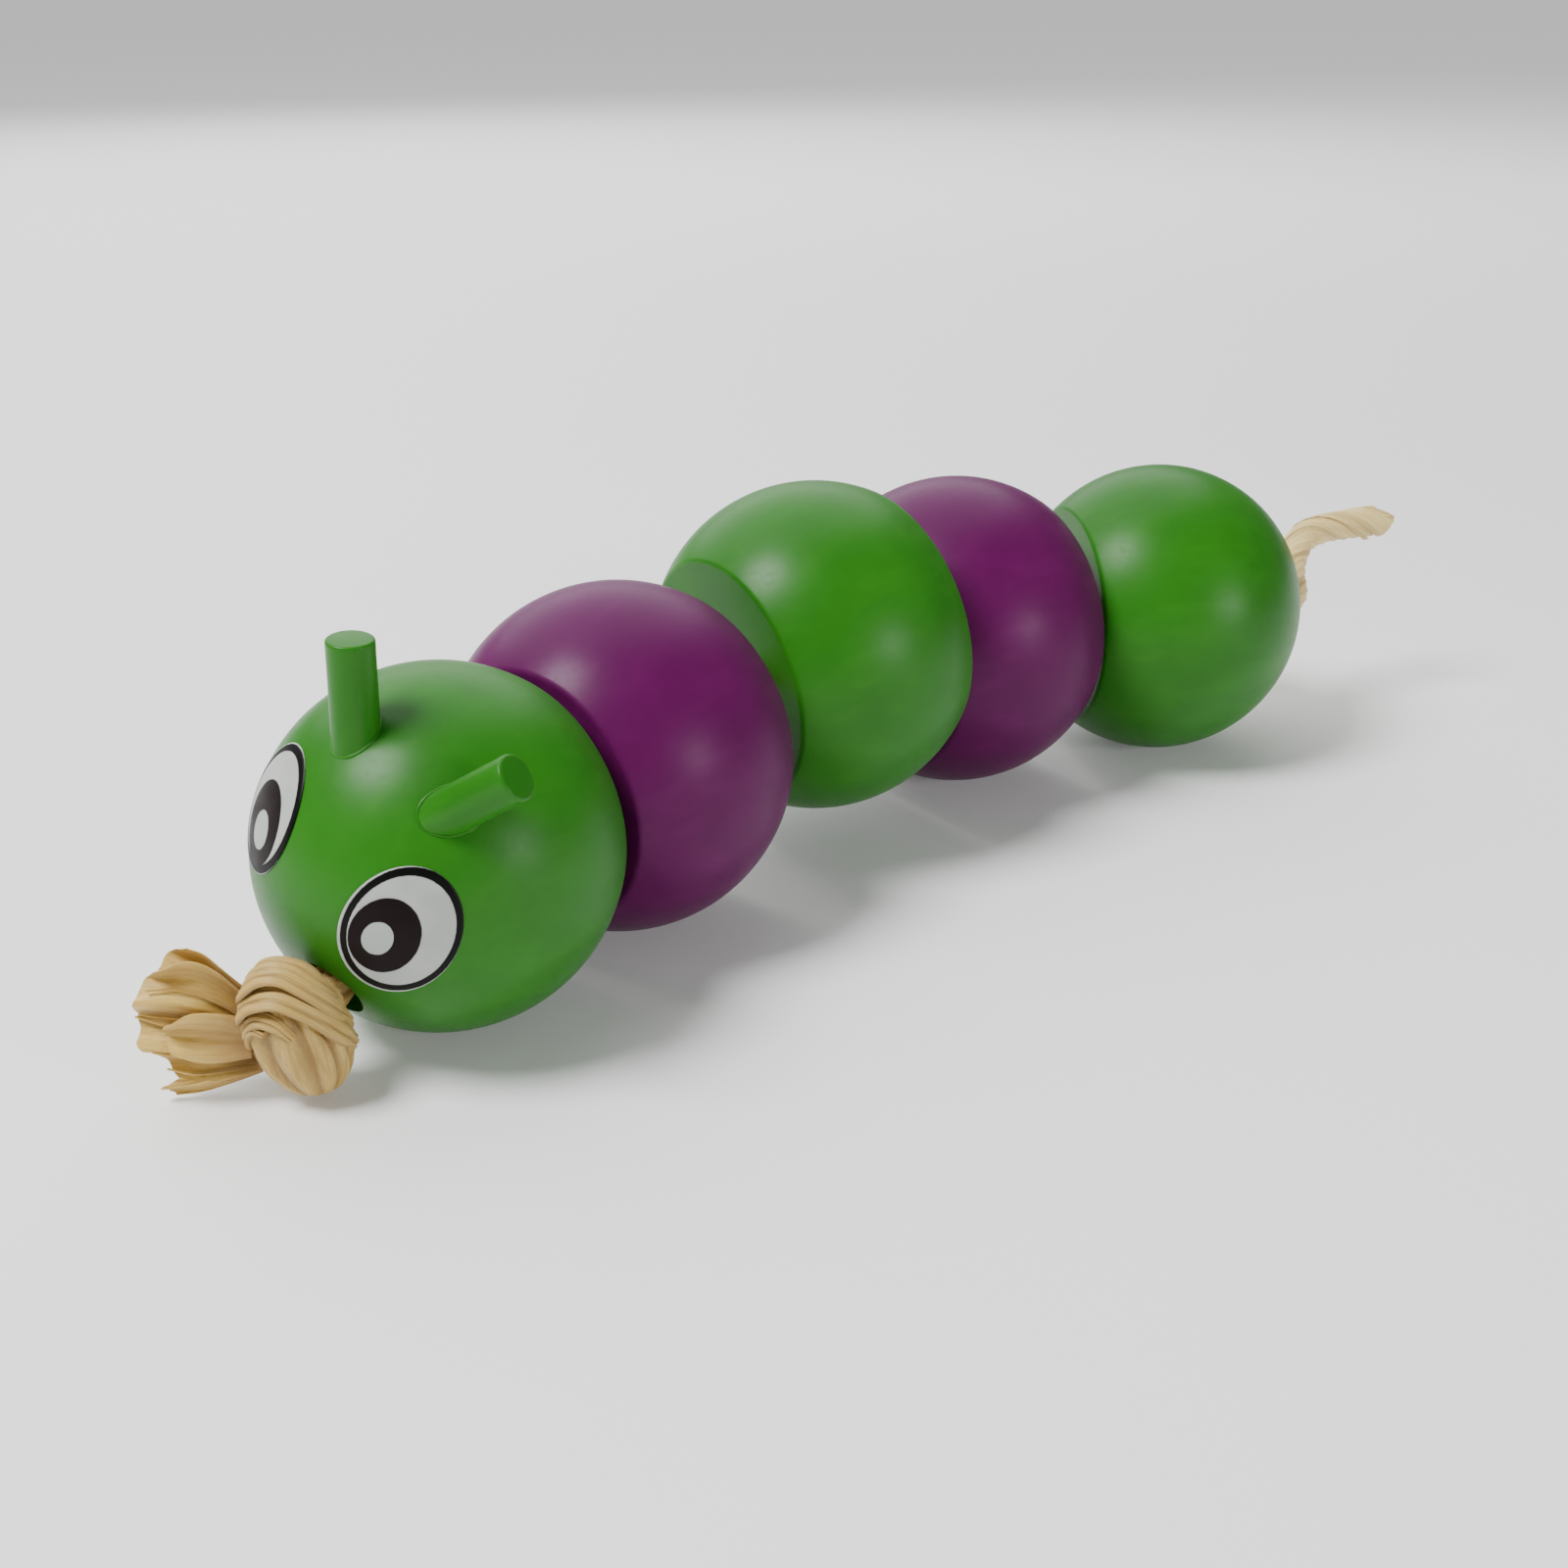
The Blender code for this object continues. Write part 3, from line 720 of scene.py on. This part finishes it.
def make_ropes(straw):
    """Visible rope through the balls: each stretch runs from one bend centre to the next."""
    draw = random.Random(11)
    taper = 1.2 * MM
    turn_taper = 1.0 * MM
    turn_radius = ROPE_RADIUS * 1.02
    bends = [joint_point("sideways_bend_%d" % number) for number in (1, 2, 3, 4)]
    neck = smooth_route([HEAD + HEAD_AXIS * distance * MM for distance in NECK_ROUTE] + [bends[0]], 10)
    item = straw_object("straw_rope_in_neck", [rope_rings(neck, ROPE_RADIUS, draw, taper)])
    finish_piece(item, straw, "neck", "straw_rope", "rope_in_neck")
    ends = bends[1:] + [joint_point("tail_spin") + joint_axis("tail_spin") * ROPE_END]
    for name, start, end in zip(BALLS, bends, ends):
        centre = joint_point(name + "_spin")
        inner = joint_axis(name + "_spin") * BORE_ROUTE
        route = smooth_route([start, centre - inner, centre, centre + inner, end], 12)
        item = straw_object("straw_rope_in_" + name, [rope_rings(route, ROPE_RADIUS, draw, taper)])
        finish_piece(item, straw, name + "_rope", "straw_rope", "rope_in_" + name)
    axes = [HEAD_AXIS] + [joint_axis(name + "_spin") for name in BALLS]
    for number, (place, before, after) in enumerate(zip(bends, axes, axes[1:]), start=1):
        along = (before + after).normalized()
        route = [place + along * (TURN_STEP * step) for step in range(-5, 6)]
        item = straw_object("straw_turn_%d" % number, [rope_rings(route, turn_radius, draw, turn_taper)])
        finish_piece(item, straw, "bend_%d" % number, "straw_rope", "rope_link_%d" % number)


def at(x, y, z):
    """Place in millimetres from the point on the floor below the head's centre."""
    return Vector((HEAD.x, HEAD.y, 0.0)) + Vector((x, y, z)) * MM


# The nose knot's centre, and level directions from it towards the tuft and out to its open side
KNOT = at(-20.6, -5.3, 7.8)
TUFTWARD = Vector((-0.753, 0.658, 0.0))
OUTWARD = Vector((-0.658, -0.753, 0.0))
KNOT_HALF = (5.0, 4.5, 7.4)  # half its size tuftward, outward and upright, in millimetres
KNOT_LEAN = 0.16             # how far the knot's top leans towards the tuft, per unit of height
LOWEST_FIBRE = -6.9          # lowest a loose fibre of the tuft goes, in millimetres from the knot's centre


def by_knot(tuftward, outward, height):
    """Place near the knot, from its centre, in millimetres."""
    return KNOT + (TUFTWARD * tuftward + OUTWARD * outward + UP * height) * MM


def on_knot(tuftward, outward, height, stand):
    """The point of the leaning knot's skin in a direction from its centre, scaled by stand."""
    shares = [value / half for value, half in zip((tuftward, outward, height), KNOT_HALF)]
    size = stand / math.sqrt(sum(share * share for share in shares))
    return by_knot(tuftward * size + KNOT_LEAN * height * size, outward * size, height * size)


def make_nose(straw, tuft_straw):
    """Rope from the nose hole, the knot with its wraps, and the frayed tuft."""
    draw = random.Random(5)
    inside = [HEAD + NOSE_AXIS * distance * MM for distance in NOSE_ROUTE]
    rope = straw_object("straw_rope_in_head", [rope_rings(smooth_route(inside, 8), ROPE_RADIUS, draw)])
    finish_piece(rope, straw, "head", "straw_rope", "rope_in_head")
    item = straw_object("straw_nose_knot", [knot_body()] + knot_bands(draw))
    finish_piece(item, straw, "head", "straw_rope", "nose_knot")
    item = straw_object("straw_nose_tuft", tuft_strips(draw))
    finish_piece(item, tuft_straw, "head", "straw_rope", "nose_tuft")


def knot_body():
    """Egg-shaped body of the knot with folds that gather under the band at its top."""
    sides = 180
    levels = 56
    gathers = 11.0
    fibres = 37.0
    level_length = 0.26 * MM
    rings = []
    folds = []
    for level in range(levels + 1):
        rise = math.cos(math.pi * (0.012 + 0.976 * level / levels))
        girth = math.sqrt(1.0 - rise * rise) * (1.0 - 0.10 * rise)
        ring = []
        fold = []
        for side in range(sides):
            angle = 2.0 * math.pi * side / sides
            drift = angle + 0.30 * rise + 0.10 * math.sin(3.0 * rise + 2.0 * angle)
            groove = 0.5 + 0.5 * math.cos(gathers * drift + 1.6 * math.sin(2.0 * drift + 1.0))
            groove = groove ** 2.5
            fine = 0.5 + 0.5 * math.cos(fibres * drift + 2.0 * math.sin(3.0 * drift))
            depth = 1.0 - (0.115 * groove + 0.022 * fine) * min(1.0, girth * 1.4)
            across = girth * depth
            place = by_knot(
                KNOT_HALF[0] * across * math.cos(angle) + KNOT_LEAN * KNOT_HALF[2] * rise,
                KNOT_HALF[1] * across * math.sin(angle),
                KNOT_HALF[2] * rise * 0.97)
            ring.append(place)
            # Painted shade in the gathered grooves and between the fine fibres.
            fold.append(min(1.0, 0.95 * groove + 0.2 * fine))
        rings.append(ring)
        folds.append(fold)
    return rings, [level_length * level for level in range(levels + 1)], folds


# Bands over the knot: directions to places on its skin (tuftward, outward, height), the width in millimetres,
# and how far out they lie, as a share of the skin's distance from the centre
BANDS = (
    (((4.2, -2.4, 0.0), (4.0, 1.6, 2.6), (2.6, 2.9, 4.6), (-0.2, 3.2, 4.9), (-2.8, 3.0, 3.4),
      (-4.4, 1.6, 0.6), (-4.4, -1.6, -2.4)), 2.7, 1.05),
    (((4.2, -2.6, 2.0), (3.6, 1.0, 4.6), (1.8, 1.6, 6.4), (-0.6, 1.8, 6.6), (-2.8, 1.8, 5.0),
      (-4.3, 0.8, 2.4), (-4.4, -2.2, -0.4)), 2.9, 1.03),
    (((4.0, -2.8, 3.6), (2.8, -0.4, 6.2), (0.8, 0.0, 7.2), (-1.6, 0.2, 6.6), (-3.2, 0.2, 4.8),
      (-4.2, -0.8, 2.4)), 2.8, 1.0),
    (((4.6, -1.8, -1.6), (4.6, 1.6, 0.4), (3.9, 2.9, 2.2), (2.2, 3.7, 3.1), (0.4, 4.2, 2.7),
      (-0.9, 4.4, 1.4)), 1.7, 1.0),
    (((4.6, -1.0, -3.0), (4.8, 1.2, -1.2), (4.3, 2.6, 0.8), (3.2, 3.4, 1.8), (1.9, 3.9, 1.6)), 1.3, 1.0),
)


def knot_bands(draw):
    """Flat folded strands that come off the tuft, cross the top of the knot and go down by the head."""
    strips = []
    for corners, width, stand in BANDS:
        route = smooth_route([on_knot(*corner, stand) for corner in corners], 8)
        widths = [width * share * MM for share in (0.7, 1.0, 1.0, 1.0, 0.6)]
        strips.append(wrap_strip(route, widths, draw))
    return strips


def wrap_strip(route, widths, draw):
    """Raffia strand pressed on to the knot: rounded outside, finely ribbed, facing away from its centre."""
    across = 26
    crown = 0.42 * MM
    sunk = 0.7 * MM
    distances = travelled(route)
    phase = draw.uniform(0.0, 6.0)
    rings = []
    folds = []
    for place, along, distance in zip(route, tangents(route), distances):
        outward = place - KNOT
        outward = (outward - along * outward.dot(along)).normalized()
        flat = along.cross(outward)
        half = interpolate(widths, distance / distances[-1]) * 0.5
        ring = []
        fold = []
        for step in range(across + 1):
            u = -1.0 + 2.0 * step / across
            crease = 0.5 + 0.5 * math.cos(7.0 * u + phase + 0.9 * math.sin(distance * 500.0 + phase))
            rib = FIBRE_RELIEF * math.sin(21.0 * u - phase) - 0.20 * MM * crease ** 3
            dome = math.sqrt(1.0 - u * u)
            ring.append(place + flat * (u * half) + outward * ((crown + rib) * dome))
            # Painted shade at the strand's edges and in its creases.
            fold.append(min(1.0, u ** 8 + 0.8 * crease ** 3))
        for step in range(across - 1, 0, -1):
            u = -1.0 + 2.0 * step / across
            ring.append(place + flat * (u * half) - outward * sunk * (1.0 - u * u))
            # Painted shade: the sunk underside against the knot is fully dark.
            fold.append(1.0)
        rings.append(ring)
        folds.append(fold)
    return rings, distances, folds


# Sheets of the frayed tuft, from the knot outwards: upper edge, lower edge (tuftward, height), then how far
# outward the sheet lies at the knot and at its end, the number of pleats and their depth
SHEETS = (
    (((4.0, 3.4), (7.2, 6.8), (9.8, 7.9), (12.6, 7.0)),
     ((4.0, -1.4), (8.0, -0.8), (12.2, 0.0), (15.6, 1.0)), (0.4, 0.2), 1.5, 0.70),
    (((4.0, 1.6), (8.0, 1.4), (12.0, 1.6), (15.4, 2.0)),
     ((4.0, -4.2), (7.0, -4.8), (9.4, -5.0), (11.8, -4.6)), (0.9, 1.4), 1.5, 0.75),
    (((4.0, 3.0), (7.0, 6.0), (8.8, 7.6), (10.6, 8.2)),
     ((4.0, -2.2), (8.0, -1.0), (11.2, 1.0), (14.2, 3.4)), (-1.2, -2.4), 1.5, 0.80),
    (((4.0, -2.6), (7.4, -3.7), (10.0, -4.6), (12.6, -5.4)),
     ((4.0, -4.9), (7.2, -6.1), (10.0, -6.9), (12.6, -7.1)), (0.3, 1.0), 1.0, 0.35),
    (((4.4, 2.3), (7.2, 3.0), (9.6, 3.1), (11.6, 2.2)),
     ((4.4, -2.2), (7.2, -2.5), (9.6, -2.3), (11.4, -1.4)), (1.8, 2.2), 1.0, 0.55),
)


def tuft_strips(draw):
    """Broad folded sheets of raffia that fan out of the knot, with a few loose fibres."""
    loose_fibres = 4
    strips = [pleated_sheet(*sheet, draw) for sheet in SHEETS]
    for _ in range(loose_fibres):
        upper, lower, (near, far), _, _ = draw.choice(SHEETS)
        share = draw.uniform(0.1, 0.9)
        corners = []
        for index in range(len(upper)):
            place = [first + (second - first) * share for first, second in zip(upper[index], lower[index])]
            outward = near + (far - near) * index / (len(upper) - 1) + draw.uniform(0.4, 0.9)
            corners.append(by_knot(place[0] + 0.15 * index, outward, max(place[1], LOWEST_FIBRE)))
        widths = [width * MM for width in (0.5, 0.5, 0.4, 0.2)]
        strips.append(ribbon(smooth_route(corners, 8), widths, OUTWARD, draw, thickness=0.12 * MM, twist=1.6))
    return strips


def pleated_sheet(upper, lower, outwards, pleats, depth, draw):
    """Thin sheet between two edges, gathered at the knot, pleated towards its ragged end."""
    across = 60
    steps = 12
    edges = []
    for edge in (upper, lower):
        corners = []
        for index, (tuftward, height) in enumerate(edge):
            outward = outwards[0] + (outwards[1] - outwards[0]) * index / (len(edge) - 1)
            corners.append(by_knot(tuftward, outward, height))
        edges.append(smooth_route(corners, steps))
    phase = draw.uniform(0.0, 2.0 * math.pi)
    distances = travelled(edges[0])
    rings = []
    folds = []
    for top, low, distance in zip(*edges, distances):
        t = distance / distances[-1]
        front = []
        back = []
        fold = []
        for step in range(across + 1):
            share = step / across
            wave = math.cos(2.0 * math.pi * pleats * share + phase + 0.8 * math.sin(2.5 * t + phase))
            crease = math.sin(31.0 * share + 3.0 * phase + 2.0 * t)
            push = depth * (0.45 + 0.75 * t) * wave + 0.06 * crease
            ragged = 0.18 * math.sin(9.0 * share + phase) + 0.10 * math.sin(23.0 * share + 2.0 * phase)
            bulge = 1.3 * math.sin(math.pi * share) * t ** 3
            place = top.lerp(low, share) + (OUTWARD * push + TUFTWARD * (bulge + ragged * t ** 8)) * MM
            gauge = OUTWARD * (0.07 * MM)
            front.append(place + gauge)
            back.append(place - gauge)
            # Painted shade in the troughs of the pleats and along the fine creases.
            fold.append(min(1.0, 0.55 * (0.5 - 0.5 * wave) + 0.10 * (crease + 1.0)))
        rings.append(front + back[::-1])
        folds.append(fold + fold[::-1])
    return rings, distances, folds


# The tail's loose end: two places on the ball's axis, in millimetres from its centre, and the bends behind it
TAIL_START = (17.4, 20.6)
TAIL_BENDS = ((139.6, -5.9, 22.4), (143.8, -4.6, 25.2), (149.5, -5.6, 26.2), (157.5, -8.7, 26.3))
PLIES_SHORT_BY = (0, 3, 1)   # how many points of the route each ply stops short of its end


def make_tail_end(straw):
    """Twisted strands that leave the counterbore, and the knot inside it."""
    draw = random.Random(23)
    centre = joint_point("tail_spin")
    axis = joint_axis("tail_spin")
    corners = [centre + axis * distance * MM for distance in TAIL_START]
    corners += [at(*bend) for bend in TAIL_BENDS]
    route = smooth_route(corners, 9)
    strips = []
    carried = carried_frames(route, UP.cross(axis).normalized())
    distances = travelled(route)
    for ply, short_by in enumerate(PLIES_SHORT_BY):
        cut = len(route) - short_by
        path = []
        for place, (side, up), distance in zip(route[:cut], carried, distances):
            t = distance / distances[-1]
            angle = 2.0 * math.pi * ply / len(PLIES_SHORT_BY) + distance * TAIL_TWIST
            loosen = 1.05 + 1.4 * max(0.0, t - 0.75)
            path.append(place + (side * math.cos(angle) + up * math.sin(angle)) * loosen * MM)
        outward = path[0] - route[0]
        strips.append(ply_strip(path, route[:cut], draw))
        widths = [width * MM for width in (1.6, 2.2, 2.6, 3.0 + draw.uniform(-0.4, 0.4))]
        strips.append(ribbon(
            path[::2], widths, outward, draw, thickness=0.16 * MM, twist=distances[cut - 1] * TAIL_TWIST,
            fold=0.30 * MM, waves=2.0, edge_notch=0.8 * MM))
    item = straw_object("straw_tail_end", strips)
    finish_piece(item, straw, "tail_rope", "straw_rope", "tail_rope_end")
    route = [centre + axis * (TAIL_KNOT_START + TAIL_KNOT_STEP * step) for step in range(17)]
    rings = rope_rings(route, TAIL_KNOT_RADIUS, draw, taper=2.4 * MM, turns_per_metre=260.0, lobes=5)
    item = straw_object("straw_tail_knot", [rings])
    finish_piece(item, straw, "tail_rope", "straw_rope", "tail_knot")


def ply_strip(path, core, draw):
    """One ply of the rope: an oval bundle with fibre grooves, wider across than it is thick."""
    sides = 36
    distances = travelled(path)
    phase = draw.uniform(0.0, 6.0)
    rings = []
    folds = []
    for place, centre, along, distance in zip(path, core, tangents(path), distances):
        outward = (place - centre).normalized()
        outward = (outward - along * outward.dot(along)).normalized()
        flat = along.cross(outward)
        t = distance / distances[-1]
        wide = (1.55 + 0.30 * t) * MM
        thick = (1.18 - 0.25 * t) * MM
        ring = []
        fold = []
        for step in range(sides):
            angle = 2.0 * math.pi * step / sides
            groove = 1.0 + 0.06 * math.sin(9.0 * angle + phase)
            groove += 0.03 * math.sin(17.0 * angle + 3.0 * phase + 9.0 * t)
            offset = flat * (wide * math.cos(angle)) + outward * (thick * math.sin(angle))
            ring.append(place + offset * groove)
            # Painted shade along the ply's two edges, where it meets the plies beside it.
            fold.append(abs(math.cos(angle)) ** 5)
        rings.append(ring)
        folds.append(fold)
    return rings, distances, folds


# ---------------------------------------------------------------- stage

def make_camera():
    """Camera in front of the head; returns its right, its up and the way back to it."""
    data = bpy.data.cameras.new("camera")
    data.lens = CAMERA_LENS
    data.sensor_width = 36.0
    data.clip_start = 0.005
    camera = bpy.data.objects.new("camera", data)
    turn = math.radians(CAMERA_AZIMUTH)
    rise = math.radians(CAMERA_ELEVATION)
    back = Vector((math.sin(turn) * math.cos(rise), -math.cos(turn) * math.cos(rise), math.sin(rise)))
    camera.location = HEAD + CAMERA_FROM_HEAD
    camera.rotation_mode = "QUATERNION"
    camera.rotation_quaternion = (-back).to_track_quat("-Z", "Y")
    bpy.context.scene.collection.objects.link(camera)
    bpy.context.scene.camera = camera
    right = Vector((math.cos(turn), math.sin(turn), 0.0))
    return right, back.cross(right), back


def soft_light(name, toward, target, distance, size, watts):
    """Round lamp at a distance from the target, turned towards it."""
    data = bpy.data.lights.new(name, "AREA")
    data.shape = "DISK"
    data.size = size
    data.energy = watts
    item = bpy.data.objects.new(name, data)
    item.location = target + toward.normalized() * distance
    item.rotation_mode = "QUATERNION"
    item.rotation_quaternion = (-toward).to_track_quat("-Z", "Y")
    bpy.context.scene.collection.objects.link(item)


def make_stage(right, up, back):
    """Pale floor, dim world and three soft lamps: upper left, right, and a broad one above and behind."""
    target = Vector((0.0, 0.0, 0.02))
    upper_left = right * -0.51 + up * 0.66 + back * 0.55
    soft_light("key", upper_left, target, distance=0.75, size=0.32, watts=8.5)
    soft_light("side", right * 0.80 - up * 0.02 + back * 0.60, target, distance=0.80, size=0.17, watts=2.4)
    soft_light("top", UP + right * -0.2 - back * 0.7, target, distance=0.8, size=1.3, watts=8.5)
    floor = mesh_object("studio_floor", build_floor)
    floor.data.materials.append(floor_material())
    world = bpy.data.worlds.new("studio")
    world.use_nodes = True
    shade = world.node_tree.nodes["Background"]
    shade.inputs["Color"].default_value = (1.0, 1.0, 1.0, 1.0)
    shade.inputs["Strength"].default_value = 0.17
    bpy.context.scene.world = world


def build_floor(form):
    signs = ((-1, -1), (1, -1), (1, 1), (-1, 1))
    corners = [form.verts.new((x * STAGE_HALF, y * STAGE_HALF, 0.0)) for x, y in signs]
    form.faces.new(corners)


def floor_material():
    """Matte pale board that glows a little more away from the toy, where the lamps don't reach."""
    nodes = Nodes("studio_floor")
    tone = nodes.noise(nodes.place(), 2.0, 2.0)
    colour = nodes.mix(nodes.span(tone, 0.3, 0.7), (0.84, 0.84, 0.84), (0.88, 0.88, 0.88))
    nodes.link(colour, nodes.shader.inputs["Base Color"])
    nodes.shader.inputs["Roughness"].default_value = 0.9
    nodes.shader.inputs["Specular IOR Level"].default_value = 0.1
    nodes.shader.inputs["Emission Color"].default_value = (1.0, 1.0, 1.0, 1.0)
    length = nodes.add("VectorMath", operation="LENGTH")
    nodes.link(nodes.place(), length.inputs[0])
    glow = nodes.span(length.outputs["Value"], 0.12, 0.75, 0.10, 0.50, smooth=True)
    nodes.link(glow, nodes.shader.inputs["Emission Strength"])
    return nodes.material


def main():
    right, up, back = make_camera()
    make_stage(right, up, back)
    green = paint_material(
        "green_satin_paint", (0.020, 0.158, 0.006), (0.014, 0.124, 0.004), (0.040, 0.215, 0.014), gloss=0.22)
    purple = paint_material(
        "purple_satin_paint", (0.098, 0.003, 0.070), (0.076, 0.002, 0.055), (0.150, 0.012, 0.110), gloss=0.16)
    straw = straw_material("straw_raffia", (0.60, 0.41, 0.12), (0.46, 0.29, 0.06), (0.20, 0.10, 0.02))
    tuft_straw = straw_material(
        "straw_tuft_raffia", (0.80, 0.56, 0.15), (0.64, 0.42, 0.08), (0.27, 0.13, 0.03),
        shaded_length=7.0 * MM)
    tail_straw = straw_material(
        "straw_tail_raffia", (0.86, 0.68, 0.30), (0.72, 0.52, 0.19), (0.36, 0.22, 0.07))
    make_balls(green, purple)
    make_head(green)
    make_antennae(green)
    make_eyes()
    make_ropes(straw)
    make_nose(straw, tuft_straw)
    make_tail_end(tail_straw)


main()
